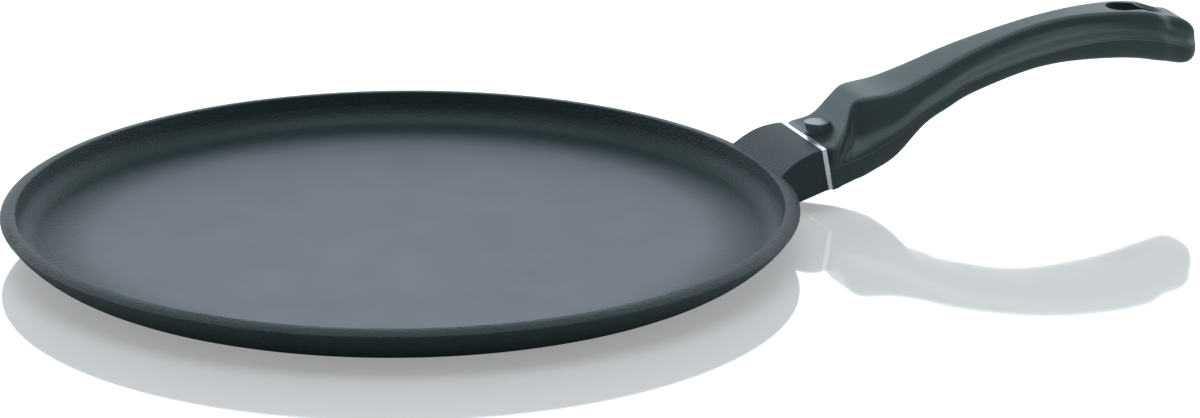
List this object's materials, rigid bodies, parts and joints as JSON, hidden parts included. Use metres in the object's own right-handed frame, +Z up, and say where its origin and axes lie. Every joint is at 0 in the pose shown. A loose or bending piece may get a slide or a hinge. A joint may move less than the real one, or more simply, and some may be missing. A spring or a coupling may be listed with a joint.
{
  "type": "crepe pan",
  "caption": "Flat round crepe pan with a low sloping rim, a cast bracket and a curved two-shell grip that slides off a tongue when its button is pressed.",
  "frame": {"origin": "centre of the machined base, on the plane the pan stands on", "axes": "+X from the pan's centre out along the grip, +Z up, +Y to the left of the grip seen from the pan"},
  "size_m": [0.4458, 0.2796, 0.0568],
  "materials": {
    "coated_cast_aluminium": "satin non-stick coat, machined bare base",
    "black_phenolic": "satin moulded",
    "button_plastic": "satin moulded",
    "stainless_plate": "brushed",
    "stainless_bar": "plain",
    "spring_steel": "plain",
    "zinc_screw": "zinc plated",
    "brass": "plain"
  },
  "bodies": {
    "pan": {"pan_body": "coated_cast_aluminium", "pan_tongue": "stainless_bar"},
    "handle": {"front_plate": "stainless_plate", "socket_sleeve": "stainless_plate", "core_strap": "stainless_bar", "strap_rivets": "stainless_bar", "latch_spring": "spring_steel", "latch_rivets": "stainless_bar", "upper_shell": "black_phenolic", "lower_shell": "black_phenolic", "shell_screws": "zinc_screw", "thread_inserts": "brass"},
    "button": {"release_button": "button_plastic", "button_stem": "stainless_bar"}
  },
  "joints": [
    {"name": "handle_release", "type": "slide", "parent": "pan", "child": "handle", "axis": [0.9833, 0, 0.1822], "range_m": [0, 0.03]},
    {"name": "button_press", "type": "slide", "parent": "handle", "child": "button", "axis": [0.1822, 0, -0.9833], "range_m": [0, 0.002], "stiffness_N_per_m": 1500, "deforming": ["latch_spring"]}
  ]
}
